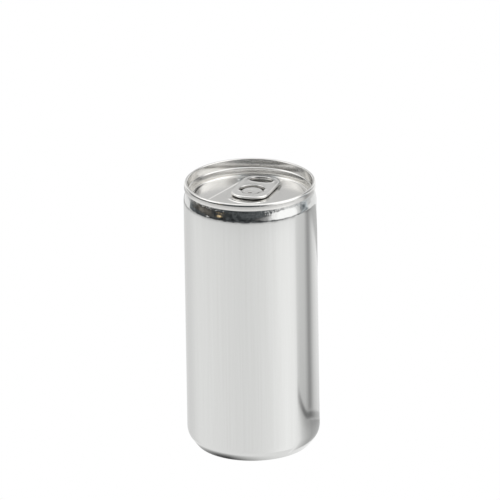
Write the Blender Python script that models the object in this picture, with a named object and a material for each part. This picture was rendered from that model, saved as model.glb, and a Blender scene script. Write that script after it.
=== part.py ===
"""Slim beverage can of about 200 ml: a drawn body, the end seamed on it and a stay-on tab.

Units are metres and +Z is up.  The origin is the centre of the base, on the surface that the can
stands on.  The tab lies along Y: its nose, over the pour opening, points to -Y and its heel to +Y.
The can is full and shut, so the body is one solid, hollow only under its domed base.
"""
import math

import bmesh
import bpy
from mathutils import Matrix

MM = 0.001

# ---------------------------------------------------------------- driving dimensions
HEIGHT = 111.0 * MM
BODY_RADIUS = 26.5 * MM
SEGMENTS = 72                     # facets round the can
FIT_GAP = 0.3 * MM                # air between pieces that touch

# base: the ring that the can stands on, the domed panel inside it and the chime outside it
STAND_RADIUS = 21.2 * MM
STAND_LAND = 0.3 * MM             # half width of the flat that touches the table
NOSE_RADIUS = 1.4 * MM
CHIME_ANGLE = 49.0                # slope of the chime above the table, in degrees
CHIME_BLEND = 7.6 * MM            # radius between the chime and the wall
DOME_RADIUS = 38.0 * MM
DOME_HEIGHT = 9.6 * MM
DOME_EDGE = 18.4 * MM             # radius at which the dome turns down into its leg

# neck: from the wall in to the seam
SHOULDER_Z = 103.0 * MM           # where the wall ends
SHOULDER_BEND = 4.5 * MM
NECK_LEAN = 17.0                  # how far the neck leans in from upright, in degrees
NECK_TOP = 106.9 * MM

# end: double seam, chuck wall, countersink, panel
SEAM_RADIUS = 26.35 * MM
SEAM_HEIGHT = 2.5 * MM
SEAM_THICKNESS = 1.25 * MM
SEAM_CROWN = 0.6 * MM             # rounding over the top of the seam
SEAM_EDGE = 0.2 * MM              # chamfer under it
CHUCK_LEAN = 0.15 * MM            # how far the upper chuck wall closes in on its way down
STEP_DEPTH = 3.6 * MM             # below the rim, where the chuck wall steps in
STEP_DROP = 0.3 * MM
STEP_RADIUS = 24.3 * MM
COLLAR_RADIUS = 25.3 * MM         # the neck's edge, gripped by the seam
COUNTERSINK_DEPTH = 6.9 * MM
COUNTERSINK_RADIUS = 23.3 * MM
COUNTERSINK_BEND = 0.6 * MM
PANEL_DEPTH = 5.65 * MM
PANEL_RADIUS = 22.2 * MM
END_THICKNESS = 0.35 * MM         # metal under the countersink

# panel features: the fan shaped deboss, the rivet and the raised beads
DEBOSS_DEPTH = 0.3 * MM
DEBOSS_FRONT = 19.4 * MM          # radius of its round front
DEBOSS_BACK = 20.2 * MM           # and of its back, behind the tab
DEBOSS_HALF_WIDTH = 13.7 * MM     # half way along, at DEBOSS_WIDE_Y
DEBOSS_WIDE_Y = -5.9 * MM
DEBOSS_TAPER = 14.0               # how far its sides close in towards the heel, in degrees
RIVET_STEM = 1.75 * MM
RIVET_HEAD = 2.7 * MM
RIVET_HEAD_HEIGHT = 0.35 * MM
RIVET_DIMPLE = 0.9 * MM
BEAD_RADIUS = 0.55 * MM           # round pips beside the tab's heel
BEAD_HEIGHT = 0.3 * MM
BEAD_X = 9.9 * MM
BEAD_Y = 14.1 * MM
NOSE_BEAD_RADIUS = 7.6 * MM       # the curved bead under the tab's nose
NOSE_BEAD_WIDTH = 1.0 * MM
NOSE_BEAD_SPREAD = 52.0           # how far it reaches to each side, in degrees

# tab: a plate with curled edges, a finger hole and a tongue round the rivet
TAB_HALF_WIDTH = 7.9 * MM
TAB_NOSE_Y = -6.4 * MM
TAB_HEEL_Y = 18.7 * MM
TAB_NOSE_CAP = 7.4 * MM
TAB_HEEL_CAP = 6.2 * MM
TAB_THICKNESS = 1.05 * MM
TAB_EDGE_ROUND = 0.4 * MM
TAB_CURL_WIDTH = 1.7 * MM         # width of the curled edge
TAB_WEB_DROP = 0.35 * MM          # how far the web lies under the curl's top
TAB_WEB_RISE = 0.3 * MM           # and how far it is above the curl's underside
TONGUE_SLOT_RADIUS = 4.7 * MM     # middle of the curved slot round the rivet
TONGUE_SLOT_WIDTH = 1.0 * MM
TONGUE_SLOT_Y = 1.4 * MM
TONGUE_SLOT_END = -20.0           # angle where the slot ends on each side, in degrees
FINGER_HALF_WIDTH = 4.7 * MM
FINGER_NEAR_Y = 11.2 * MM
FINGER_FAR_Y = 16.9 * MM
FINGER_NEAR_CAP = 1.6 * MM
FINGER_FAR_CAP = 3.8 * MM
CAP_POWER = 2.3                   # how square the tab's round ends are, 2 being an ellipse
CAP_STEPS = 10

# ---------------------------------------------------------------- levels that follow
PANEL_Z = HEIGHT - PANEL_DEPTH
DEBOSS_Z = PANEL_Z - DEBOSS_DEPTH
TAB_BOTTOM = PANEL_Z + FIT_GAP
TAB_TOP = TAB_BOTTOM + TAB_THICKNESS
TONGUE_TOP = TAB_BOTTOM + TAB_WEB_RISE
END_BOTTOM = HEIGHT - COUNTERSINK_DEPTH - END_THICKNESS

ALUMINIUM_WALL = (0.63, 0.63, 0.62)
ALUMINIUM_END = (0.56, 0.56, 0.54)
ALUMINIUM_TAB = (0.60, 0.60, 0.58)


def clear_scene():
    """Start from an empty scene."""
    for thing in list(bpy.data.objects):
        bpy.data.objects.remove(thing, do_unlink=True)


def metal(name, colour, roughness):
    """A bare metal with the piece's own tone."""
    material = bpy.data.materials.new(name)
    material.use_nodes = True
    shader = material.node_tree.nodes["Principled BSDF"]
    shader.inputs["Base Color"].default_value = (*colour, 1.0)
    shader.inputs["Metallic"].default_value = 1.0
    shader.inputs["Roughness"].default_value = roughness
    return material


def arc(centre, radius, start, end, steps):
    """Points on an arc in the (radius, height) plane; angles in degrees, 0 outwards and 90 up."""
    points = []
    for step in range(steps + 1):
        angle = math.radians(start + (end - start) * step / steps)
        points.append((centre[0] + radius * math.cos(angle), centre[1] + radius * math.sin(angle)))
    return points


def add_object(name, mesh, material=None):
    """Put a mesh in the scene as a named object."""
    thing = bpy.data.objects.new(name, mesh)
    bpy.context.scene.collection.objects.link(thing)
    if material:
        mesh.materials.append(material)
    return thing


def hide(thing):
    """Mark an object as a cutter or guide, which is no piece of the can."""
    thing.hide_render = True
    thing.display_type = "WIRE"
    return thing


def mesh_from(bm, name):
    """Close a bmesh into a mesh whose faces point out."""
    bmesh.ops.recalc_face_normals(bm, faces=bm.faces)
    mesh = bpy.data.meshes.new(name)
    bm.to_mesh(mesh)
    bm.free()
    return mesh


def turned(name, profile, segments):
    """A solid of revolution; the profile runs from one point on the axis to another."""
    bm = bmesh.new()
    verts = [bm.verts.new((radius, 0.0, height)) for radius, height in profile]
    edges = [bm.edges.new(pair) for pair in zip(verts, verts[1:])]
    bmesh.ops.spin(bm, geom=verts + edges, axis=(0.0, 0.0, 1.0), cent=(0.0, 0.0, 0.0),
                   angle=2.0 * math.pi, steps=segments, use_merge=True)
    bmesh.ops.remove_doubles(bm, verts=bm.verts, dist=0.001 * MM)
    return mesh_from(bm, name)


def prism(name, outline, bottom, top, edge_round=0.0):
    """A plate of the given outline, its long edges rounded over if asked."""
    bm = bmesh.new()
    face = bm.faces.new([bm.verts.new((x, y, bottom)) for x, y in outline])
    grown = bmesh.ops.extrude_face_region(bm, geom=[face])
    raised = [item for item in grown["geom"] if isinstance(item, bmesh.types.BMVert)]
    bmesh.ops.translate(bm, verts=raised, vec=(0.0, 0.0, top - bottom))
    if edge_round:
        rims = [edge for edge in bm.edges if edge.verts[0].co.z == edge.verts[1].co.z]
        bmesh.ops.bevel(bm, geom=rims, offset=edge_round, offset_type="OFFSET", segments=3,
                        profile=0.5, affect="EDGES")
    return mesh_from(bm, name)


def capped_outline(half_width, near_y, far_y, near_cap, far_cap):
    """An outline with straight sides along Y and a round cap at each end."""
    points = []
    for cap_y, cap, sign in ((far_y - far_cap, far_cap, 1.0), (near_y + near_cap, near_cap, -1.0)):
        for step in range(2 * CAP_STEPS + 1):
            angle = math.pi * step / (2 * CAP_STEPS)
            across = math.copysign(abs(math.cos(angle)) ** (2.0 / CAP_POWER), math.cos(angle))
            along = math.sin(angle) ** (2.0 / CAP_POWER)
            points.append((sign * half_width * across, cap_y + sign * cap * along))
    return points


def slot_outline():
    """The curved slot that frees the tongue round the rivet, on its heel side."""
    inner = TONGUE_SLOT_RADIUS - TONGUE_SLOT_WIDTH / 2.0
    outer = TONGUE_SLOT_RADIUS + TONGUE_SLOT_WIDTH / 2.0
    first, last = TONGUE_SLOT_END, 180.0 - TONGUE_SLOT_END
    centre = (0.0, TONGUE_SLOT_Y)
    return arc(centre, outer, first, last, 18) + arc(centre, inner, last, first, 18)


def deboss_corner(radius, end):
    """The angle at which the fan's straight side meets the circle that closes it at one end."""
    taper = math.radians(DEBOSS_TAPER)
    apex_y = DEBOSS_WIDE_Y + DEBOSS_HALF_WIDTH / math.tan(taper)
    off_axis = math.asin(apex_y * math.sin(taper) / radius)
    if end == "front":
        return math.degrees(off_axis + taper) - 90.0
    return 90.0 - math.degrees(off_axis - taper)


def deboss_outline():
    """The fan on the panel: round in front and behind, its sides closing in to the heel."""
    back_corner = deboss_corner(DEBOSS_BACK, "back")
    front_corner = deboss_corner(DEBOSS_FRONT, "front")
    back = arc((0.0, 0.0), DEBOSS_BACK, back_corner, 180.0 - back_corner, 10)
    front = arc((0.0, 0.0), DEBOSS_FRONT, 180.0 - front_corner, 360.0 + front_corner, 18)
    return back + front


def nose_bead_outline():
    """The curved bead under the tab's nose, an arc about the rivet with round ends."""
    half = NOSE_BEAD_WIDTH / 2.0
    first, last = 270.0 - NOSE_BEAD_SPREAD, 270.0 + NOSE_BEAD_SPREAD
    points = arc((0.0, 0.0), NOSE_BEAD_RADIUS + half, first, last, 14)
    for angle, turn in ((last, 1.0), (first, -1.0)):
        end = arc((0.0, 0.0), NOSE_BEAD_RADIUS, angle, angle, 1)[0]
        side = angle if turn > 0.0 else angle - 180.0
        points += arc(end, half, side + 30.0, side + 150.0, 4)
        if turn > 0.0:
            points += arc((0.0, 0.0), NOSE_BEAD_RADIUS - half, last, first, 14)
    return points


def cut(target, name, mesh):
    """Take a cutter's shape out of a piece."""
    cutter = hide(add_object(name, mesh))
    modifier = target.modifiers.new(name, "BOOLEAN")
    modifier.operation = "DIFFERENCE"
    modifier.object = cutter


def fuse(target, name, mesh):
    """Make a feature one with the piece it rises from."""
    feature = hide(add_object(name, mesh))
    modifier = target.modifiers.new(name, "BOOLEAN")
    modifier.operation = "UNION"
    modifier.object = feature


def smooth(thing, angle):
    """Shade a round piece smooth and keep its sharp folds."""
    thing.data.shade_smooth()
    thing.data.set_sharp_from_angle(angle=math.radians(angle))


def body_profile():
    """From the middle of the dome, round the stand ring and up the wall to the neck and under the end."""
    dome_centre = (0.0, DOME_HEIGHT - DOME_RADIUS)
    dome_end = math.degrees(math.acos(DOME_EDGE / DOME_RADIUS))
    points = arc(dome_centre, DOME_RADIUS, 90.0, dome_end, 7)
    points[0] = (0.0, DOME_HEIGHT)
    inner_nose = STAND_RADIUS - STAND_LAND
    points += arc((inner_nose, NOSE_RADIUS), NOSE_RADIUS, 180.0, 270.0, 4)
    slope = math.radians(CHIME_ANGLE)
    points += arc((STAND_RADIUS + STAND_LAND, NOSE_RADIUS), NOSE_RADIUS, -90.0, CHIME_ANGLE - 90.0, 3)
    start_radius, start_z = points[-1]
    blend_centre_radius = BODY_RADIUS - CHIME_BLEND
    run = blend_centre_radius + CHIME_BLEND * math.sin(slope) - start_radius
    blend_centre_z = start_z + run * math.tan(slope) + CHIME_BLEND * math.cos(slope)
    points += arc((blend_centre_radius, blend_centre_z), CHIME_BLEND, CHIME_ANGLE - 90.0, 0.0, 5)
    points += neck_points()
    pocket = STEP_RADIUS + END_THICKNESS + FIT_GAP
    floor = END_BOTTOM - FIT_GAP
    points += [(pocket, NECK_TOP), (pocket, floor), (0.0, floor)]
    return points


def neck_points():
    """The shoulder rolls the wall inwards, and the neck goes on straight to its top."""
    points = arc((BODY_RADIUS - SHOULDER_BEND, SHOULDER_Z), SHOULDER_BEND, 0.0, NECK_LEAN, 5)
    bend_radius, bend_z = points[-1]
    run = (NECK_TOP - bend_z) * math.tan(math.radians(NECK_LEAN))
    return points + [(bend_radius - run, NECK_TOP)]


def end_profile():
    """From the middle of the panel out over the countersink and the seam, and back underneath."""
    bend = COUNTERSINK_BEND
    sink_z = HEIGHT - COUNTERSINK_DEPTH + bend
    crown_z = HEIGHT - SEAM_CROWN
    inner = SEAM_RADIUS - SEAM_THICKNESS
    points = [(0.0, PANEL_Z), (PANEL_RADIUS - bend, PANEL_Z)]
    points += arc((PANEL_RADIUS - bend, PANEL_Z - bend), bend, 70.0, 0.0, 3)
    points += arc((COUNTERSINK_RADIUS, sink_z), bend, 200.0, 350.0, 6)
    points += [(STEP_RADIUS, HEIGHT - STEP_DEPTH - STEP_DROP), (inner - CHUCK_LEAN, HEIGHT - STEP_DEPTH)]
    points += arc((inner + SEAM_CROWN, crown_z), SEAM_CROWN, 180.0, 90.0, 3)
    points += arc((SEAM_RADIUS - SEAM_CROWN, crown_z), SEAM_CROWN, 90.0, 0.0, 3)
    seam_bottom = HEIGHT - SEAM_HEIGHT
    collar_bottom = NECK_TOP + FIT_GAP
    plug_radius = STEP_RADIUS + END_THICKNESS
    points += [(SEAM_RADIUS, seam_bottom + SEAM_EDGE), (SEAM_RADIUS - SEAM_EDGE, seam_bottom),
               (COLLAR_RADIUS, seam_bottom), (COLLAR_RADIUS, collar_bottom),
               (plug_radius, collar_bottom), (plug_radius, END_BOTTOM), (0.0, END_BOTTOM)]
    return points


def rivet_profile():
    """The integral rivet: a stem out of the panel and the head that holds the tab's tongue."""
    head_bottom = TONGUE_TOP + FIT_GAP
    head_top = head_bottom + RIVET_HEAD_HEIGHT
    edge = RIVET_HEAD_HEIGHT / 2.0
    root = DEBOSS_Z - DEBOSS_DEPTH
    points = [(0.0, root), (RIVET_STEM, root), (RIVET_STEM, head_bottom)]
    points += arc((RIVET_HEAD - edge, head_bottom + edge), edge, -90.0, 90.0, 4)
    points += [(RIVET_DIMPLE, head_top), (0.0, head_top - RIVET_HEAD_HEIGHT / 2.0)]
    return points


def bead_profile():
    """A low domed pip pressed up out of the panel, on a short root inside it."""
    points = [(0.0, -DEBOSS_DEPTH), (BEAD_RADIUS, -DEBOSS_DEPTH)]
    for angle in (15.0, 50.0):
        turn = math.radians(angle)
        points.append((BEAD_RADIUS * math.cos(turn), BEAD_HEIGHT * math.sin(turn)))
    return points + [(0.0, BEAD_HEIGHT)]


def make_body():
    """The drawn and ironed body with its necked top and domed base."""
    body = add_object("can_body", turned("can_body", body_profile(), SEGMENTS),
                      metal("ironed_wall", ALUMINIUM_WALL, 0.32))
    smooth(body, 40.0)
    return body


def make_end():
    """The end: seam, countersink and panel, with the pressings of the panel."""
    end = add_object("can_end", turned("can_end", end_profile(), SEGMENTS),
                     metal("rolled_end", ALUMINIUM_END, 0.28))
    cut(end, "deboss", prism("deboss", deboss_outline(), DEBOSS_Z, PANEL_Z + DEBOSS_DEPTH))
    fuse(end, "rivet", turned("rivet", rivet_profile(), 24))
    fuse(end, "nose_bead", prism("nose_bead", nose_bead_outline(), DEBOSS_Z - DEBOSS_DEPTH,
                                 DEBOSS_Z + BEAD_HEIGHT))
    for side in (-1.0, 1.0):
        pip = turned("heel_bead", bead_profile(), 12)
        pip.transform(Matrix.Translation((side * BEAD_X, BEAD_Y, PANEL_Z)))
        fuse(end, "heel_bead_left" if side < 0.0 else "heel_bead_right", pip)
    smooth(end, 35.0)
    return end


def make_tab():
    """The stay-on tab: a curled plate, its web set in, with finger hole, tongue and rivet hole."""
    outline = capped_outline(TAB_HALF_WIDTH, TAB_NOSE_Y, TAB_HEEL_Y, TAB_NOSE_CAP, TAB_HEEL_CAP)
    web = capped_outline(TAB_HALF_WIDTH - TAB_CURL_WIDTH, TAB_NOSE_Y + TAB_CURL_WIDTH,
                         TAB_HEEL_Y - TAB_CURL_WIDTH, TAB_NOSE_CAP - TAB_CURL_WIDTH,
                         TAB_HEEL_CAP - TAB_CURL_WIDTH)
    finger = capped_outline(FINGER_HALF_WIDTH, FINGER_NEAR_Y, FINGER_FAR_Y, FINGER_NEAR_CAP, FINGER_FAR_CAP)
    clear = 1.0 * MM
    tab = add_object("pull_tab", prism("pull_tab", outline, TAB_BOTTOM, TAB_TOP, TAB_EDGE_ROUND),
                     metal("tab_stock", ALUMINIUM_TAB, 0.25))
    cut(tab, "web_above", prism("web_above", web, TAB_TOP - TAB_WEB_DROP, TAB_TOP + clear))
    tongue = turned("tongue", [(0.0, 0.0), (TONGUE_SLOT_RADIUS, 0.0), (TONGUE_SLOT_RADIUS, clear),
                               (0.0, clear)], 36)
    tongue.transform(Matrix.Translation((0.0, TONGUE_SLOT_Y, TONGUE_TOP)))
    cut(tab, "tongue_top", tongue)
    cut(tab, "finger_hole", prism("finger_hole", finger, TAB_BOTTOM - clear, TAB_TOP + clear))
    cut(tab, "tongue_slot", prism("tongue_slot", slot_outline(), TAB_BOTTOM - clear, TAB_TOP + clear))
    hole = [(0.0, TAB_BOTTOM - clear), (RIVET_STEM + FIT_GAP, TAB_BOTTOM - clear),
            (RIVET_STEM + FIT_GAP, TAB_TOP + clear), (0.0, TAB_TOP + clear)]
    cut(tab, "rivet_hole", turned("rivet_hole", hole, 24))
    smooth(tab, 35.0)
    return tab


clear_scene()
make_body()
make_end()
make_tab()
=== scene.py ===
"""Dresses the slim beverage can: body, end and tab with their metal finishes, on a pale floor.

The frame is in metres, +Z up, origin at the centre of the base, the tab's nose pointing to -Y.
Sizes in the sections below are in millimetres unless they say otherwise.
"""
import math

import bmesh
import bpy
import numpy as np
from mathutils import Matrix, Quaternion, Vector
from mathutils.geometry import delaunay_2d_cdt


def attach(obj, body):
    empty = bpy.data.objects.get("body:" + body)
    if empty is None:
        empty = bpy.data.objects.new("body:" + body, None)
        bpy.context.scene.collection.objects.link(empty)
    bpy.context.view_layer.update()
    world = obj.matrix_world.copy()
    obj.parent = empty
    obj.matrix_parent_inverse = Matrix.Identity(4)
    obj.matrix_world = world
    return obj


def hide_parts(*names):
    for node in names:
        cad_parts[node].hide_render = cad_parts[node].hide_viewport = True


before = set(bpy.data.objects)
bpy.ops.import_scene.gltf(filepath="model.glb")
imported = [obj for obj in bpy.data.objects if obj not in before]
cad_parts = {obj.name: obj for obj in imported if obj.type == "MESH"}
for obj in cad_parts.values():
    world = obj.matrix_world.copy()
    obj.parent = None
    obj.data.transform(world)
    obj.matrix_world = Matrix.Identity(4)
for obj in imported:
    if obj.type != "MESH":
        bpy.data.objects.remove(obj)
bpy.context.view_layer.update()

# ================================================================ can body
# One cup of 3104 aluminium alloy, drawn and then ironed up through rings to a thin bright wall.
# The top is necked in by dies and its edge goes up into the seam; the base is domed inwards
# so that the can stands on a narrow ring.  The metal is bare but for a thin clear varnish.

MM = 0.001
TURN_STEPS = 288                  # facets round the can
BEND_STEPS = 12                   # facets in each rounded corner
CORNER_ANGLE = 38.0               # sharper folds than this stay crisp, in degrees
WELD = 0.002                      # points closer than this become one
SLIVER = 0.0005                   # edges shorter than this go

# corners of the body's section as radius, height and the radius that rounds the corner off
BODY_SECTION = [
    (0.0, 9.6, 0.0),              # middle of the dome
    (9.81, 9.6, 37.9),            # the dome itself
    (19.6, 4.18, 1.3),            # dome turning down into its leg
    (19.6, 0.0, 1.35),            # inside of the stand ring
    (22.7, 0.0, 1.5),             # outside of the stand ring
    (26.49, 4.7, 7.4),            # chime into wall
    (26.49, 103.7, 11.0),         # shoulder, rolling into the neck
    (25.95, 106.2, 14.0),         # half way up the neck, which curves all the way
    (25.25, 108.0, 0.8),          # top of the neck, under the seam
    (25.25, 108.57, 0.0),         # edge, inside the seam
    (25.12, 108.57, 0.0),
    (25.1, 107.2, 0.0),
    (24.78, 103.5, 0.0),
    (0.0, 103.2, 0.0),            # the drink, under the end
]


def linear(code):
    """A colour written as sRGB hex, turned to the linear values that the renderer works in."""
    channels = [int(code[place:place + 2], 16) / 255.0 for place in (1, 3, 5)]
    return [c / 12.92 if c <= 0.04045 else ((c + 0.055) / 1.055) ** 2.4 for c in channels] + [1.0]


def add_node(tree, kind, settings=None, inputs=None):
    """Add a node, give it its settings, and fill its inputs with values or other nodes' outputs."""
    node = tree.nodes.new(kind)
    for name, value in (settings or {}).items():
        setattr(node, name, value)
    for key, value in (inputs or {}).items():
        if isinstance(value, bpy.types.NodeSocket):
            tree.links.new(value, node.inputs[key])
        else:
            node.inputs[key].default_value = value
    return node


def new_finish(name):
    """A new material and its node tree, emptied."""
    material = bpy.data.materials.new(name)
    material.use_nodes = True
    tree = material.node_tree
    tree.nodes.clear()
    return material, tree


def turning_tree(name, material):
    """Geometry Nodes that round off a section's corners and turn it about Z into a skin."""
    tree = bpy.data.node_groups.new(name, "GeometryNodeTree")
    for label, kind in (("Section", "NodeSocketGeometry"), ("Turn Steps", "NodeSocketInt"),
                        ("Bend Steps", "NodeSocketInt"), ("Corner Angle", "NodeSocketFloat")):
        tree.interface.new_socket(label, in_out="INPUT", socket_type=kind)
    tree.interface.new_socket("Skin", in_out="OUTPUT", socket_type="NodeSocketGeometry")
    given = tree.nodes.new("NodeGroupInput").outputs

    # the section: a chain of corner points, each rounded by the radius it carries
    chain = add_node(tree, "GeometryNodeMeshToCurve", inputs={"Mesh": given["Section"]})
    bend = add_node(tree, "GeometryNodeInputNamedAttribute", {"data_type": "FLOAT"}, {"Name": "bend"})
    rounded = add_node(tree, "GeometryNodeFilletCurve", {"mode": "POLY"}, {
        "Curve": chain.outputs[0], "Count": given["Bend Steps"], "Radius": bend.outputs[0],
        "Limit Radius": True})
    size = add_node(tree, "GeometryNodeAttributeDomainSize", {"component": "CURVE"},
                    {"Geometry": rounded.outputs[0]})

    # a grid with one row for each section point and one column for each step of the turn
    columns = add_node(tree, "FunctionNodeIntegerMath", {"operation": "ADD"},
                       {0: given["Turn Steps"], 1: 1})
    grid = add_node(tree, "GeometryNodeMeshGrid", inputs={
        "Vertices X": size.outputs["Point Count"], "Vertices Y": columns.outputs[0]})
    index = tree.nodes.new("GeometryNodeInputIndex")
    row = add_node(tree, "FunctionNodeIntegerMath", {"operation": "DIVIDE_FLOOR"},
                   {0: index.outputs[0], 1: columns.outputs[0]})
    column = add_node(tree, "FunctionNodeIntegerMath", {"operation": "MODULO"},
                      {0: index.outputs[0], 1: columns.outputs[0]})
    place = tree.nodes.new("GeometryNodeInputPosition")
    point = add_node(tree, "GeometryNodeSampleIndex",
                     {"data_type": "FLOAT_VECTOR", "domain": "POINT"},
                     {"Geometry": rounded.outputs[0], "Value": place.outputs[0],
                      "Index": row.outputs[0]})
    share = add_node(tree, "ShaderNodeMath", {"operation": "DIVIDE"},
                     {0: column.outputs[0], 1: given["Turn Steps"]})
    angle = add_node(tree, "ShaderNodeMath", {"operation": "MULTIPLY"},
                     {0: share.outputs[0], 1: 2.0 * math.pi})
    turned = add_node(tree, "ShaderNodeVectorRotate", {"rotation_type": "Z_AXIS"},
                      {"Vector": point.outputs[0], "Angle": angle.outputs[0]})
    swept = add_node(tree, "GeometryNodeSetPosition", inputs={
        "Geometry": grid.outputs["Mesh"], "Position": turned.outputs[0]})
    mapped = add_node(tree, "GeometryNodeStoreNamedAttribute",
                      {"data_type": "FLOAT2", "domain": "CORNER"},
                      {"Geometry": swept.outputs[0], "Name": "UVMap", "Value": grid.outputs["UV Map"]})
    closed = add_node(tree, "GeometryNodeMergeByDistance", inputs={
        "Geometry": mapped.outputs[0], "Distance": WELD * MM})

    # round surfaces shade smooth, folds stay crisp
    fold = tree.nodes.new("GeometryNodeInputMeshEdgeAngle")
    crisp = add_node(tree, "FunctionNodeCompare", {"data_type": "FLOAT", "operation": "LESS_THAN"},
                     {0: fold.outputs["Unsigned Angle"], 1: given["Corner Angle"]})
    soft = add_node(tree, "GeometryNodeSetShadeSmooth", {"domain": "FACE"},
                    {"Geometry": closed.outputs[0], "Shade Smooth": True})
    shaded = add_node(tree, "GeometryNodeSetShadeSmooth", {"domain": "EDGE"},
                      {"Geometry": soft.outputs[0], "Shade Smooth": crisp.outputs[0]})
    real = add_node(tree, "GeometryNodeRealizeInstances", inputs={"Geometry": shaded.outputs[0]})
    painted = add_node(tree, "GeometryNodeSetMaterial",
                       inputs={"Geometry": real.outputs[0], "Material": material})
    add_node(tree, "NodeGroupOutput", inputs={"Skin": painted.outputs[0]})
    return tree


def turn_section(name, section, tree, turn_steps):
    """Run a section through the turning tree and return the finished plain mesh."""
    chain = bpy.data.meshes.new(name + "_section")
    chain.from_pydata([(radius * MM, 0.0, height * MM) for radius, height, bend in section],
                      [(place, place + 1) for place in range(len(section) - 1)], [])
    bends = chain.attributes.new("bend", "FLOAT", "POINT")
    bends.data.foreach_set("value", [bend * MM for radius, height, bend in section])
    host = bpy.data.objects.new(name + "_host", chain)
    bpy.context.scene.collection.objects.link(host)
    turning = host.modifiers.new("turning", "NODES")
    turning.node_group = tree
    values = {"Turn Steps": turn_steps, "Bend Steps": BEND_STEPS,
              "Corner Angle": math.radians(CORNER_ANGLE)}
    for item in tree.interface.items_tree:
        if item.in_out == "INPUT" and item.name in values:
            turning[item.identifier] = values[item.name]
    mesh = bpy.data.meshes.new_from_object(host.evaluated_get(bpy.context.evaluated_depsgraph_get()))
    bpy.data.objects.remove(host)
    return mesh


def close_shell(name, meshes, material):
    """Join meshes that meet edge to edge into one closed skin whose faces point outwards."""
    bm = bmesh.new()
    for mesh in meshes:
        bm.from_mesh(mesh)
    bmesh.ops.remove_doubles(bm, verts=bm.verts, dist=WELD * MM)
    bmesh.ops.dissolve_degenerate(bm, edges=bm.edges, dist=SLIVER * MM)
    bmesh.ops.recalc_face_normals(bm, faces=bm.faces)
    open_edges = [edge for edge in bm.edges if len(edge.link_faces) != 2]
    if open_edges:
        print(name, "has", len(open_edges), "open edges")
    if bm.calc_volume(signed=True) < 0.0:
        bmesh.ops.reverse_faces(bm, faces=bm.faces)
    skin = bpy.data.meshes.new(name)
    bm.to_mesh(skin)
    bm.free()
    skin.materials.clear()
    skin.materials.append(material)
    piece = bpy.data.objects.new(name, skin)
    bpy.context.scene.collection.objects.link(piece)
    return piece


# Ironed 3104 aluminium under clear varnish: a pale, even mirror blurred sideways by upright draw
# lines some tenths of a millimetre apart, and a little sharper where the dies have necked it.
WALL_PALE = "#DADBDA"
WALL_DULL = "#D2D2D0"
WALL_ROUGHNESS = 0.12
NECK_ROUGHNESS = 0.1
WALL_ANISOTROPY = 0.3
NECK_START_Z = 102.6              # where the necking dies begin to touch the wall
NECK_FADE = 0.8                   # height over which the die's polish sets in
DRAW_LINE_WIDTH = 0.35            # drawn a little coarser than the real lines, to show at all
DRAW_LINE_LENGTH = 60.0
DRAW_LINE_DEPTH = 0.0012
PLEAT_SIZE = (0.45, 0.45, 1.8)    # the faint pleats where the dies gather the neck's edge
PLEAT_START_Z = 105.9
PLEAT_FADE = 1.4                  # height over which they set in
PLEAT_DEPTH = 0.11
NECK_WAVE = 2.4                   # the slight unevenness that the dies leave in the neck
NECK_WAVE_FADE = 1.5              # height over which it sets in
NECK_WAVE_DEPTH = 0.07

ironed_wall, tree = new_finish("drawn_and_ironed_aluminium")
coords = tree.nodes.new("ShaderNodeTexCoord").outputs["Object"]
stretched = add_node(tree, "ShaderNodeMapping", inputs={
    "Vector": coords,
    "Scale": [1.0 / (size * MM) for size in (DRAW_LINE_WIDTH, DRAW_LINE_WIDTH, DRAW_LINE_LENGTH)]})
lines = add_node(tree, "ShaderNodeTexNoise", inputs={
    "Vector": stretched.outputs[0], "Scale": 1.0, "Detail": 2.0, "Roughness": 0.6})
tone = add_node(tree, "ShaderNodeMix", {"data_type": "RGBA"}, {
    0: lines.outputs["Fac"], 6: linear(WALL_DULL), 7: linear(WALL_PALE)})
height = add_node(tree, "ShaderNodeSeparateXYZ", inputs={0: coords})
polish = add_node(tree, "ShaderNodeMapRange", {"interpolation_type": "SMOOTHSTEP"}, {
    "Value": height.outputs["Z"], "From Min": NECK_START_Z * MM,
    "From Max": (NECK_START_Z + NECK_FADE) * MM, "To Min": WALL_ROUGHNESS,
    "To Max": NECK_ROUGHNESS})
relief = add_node(tree, "ShaderNodeBump", inputs={
    "Strength": 1.0, "Distance": DRAW_LINE_DEPTH * MM, "Height": lines.outputs["Fac"]})
pleat_place = add_node(tree, "ShaderNodeMapping", inputs={
    "Vector": coords, "Scale": [1.0 / (size * MM) for size in PLEAT_SIZE]})
pleats = add_node(tree, "ShaderNodeTexNoise", inputs={
    "Vector": pleat_place.outputs[0], "Scale": 1.0, "Detail": 1.0})
near_seam = add_node(tree, "ShaderNodeMapRange", {"interpolation_type": "SMOOTHSTEP"}, {
    "Value": height.outputs["Z"], "From Min": PLEAT_START_Z * MM,
    "From Max": (PLEAT_START_Z + PLEAT_FADE) * MM, "To Max": PLEAT_DEPTH})
pleated = add_node(tree, "ShaderNodeMath", {"operation": "MULTIPLY"}, {
    0: pleats.outputs["Fac"], 1: near_seam.outputs[0]})
waves = add_node(tree, "ShaderNodeTexNoise", inputs={
    "Vector": coords, "Scale": 1.0 / (NECK_WAVE * MM), "Detail": 2.0})
on_neck = add_node(tree, "ShaderNodeMapRange", {"interpolation_type": "SMOOTHSTEP"}, {
    "Value": height.outputs["Z"], "From Min": NECK_START_Z * MM,
    "From Max": (NECK_START_Z + NECK_WAVE_FADE) * MM, "To Max": NECK_WAVE_DEPTH})
uneven = add_node(tree, "ShaderNodeMath", {"operation": "MULTIPLY_ADD"}, {
    0: waves.outputs["Fac"], 1: on_neck.outputs[0], 2: pleated.outputs[0]})
relief = add_node(tree, "ShaderNodeBump", inputs={
    "Strength": 1.0, "Distance": MM, "Height": uneven.outputs[0], "Normal": relief.outputs[0]})
round_the_can = add_node(tree, "ShaderNodeTangent", {"direction_type": "RADIAL", "axis": "Z"})
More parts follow.
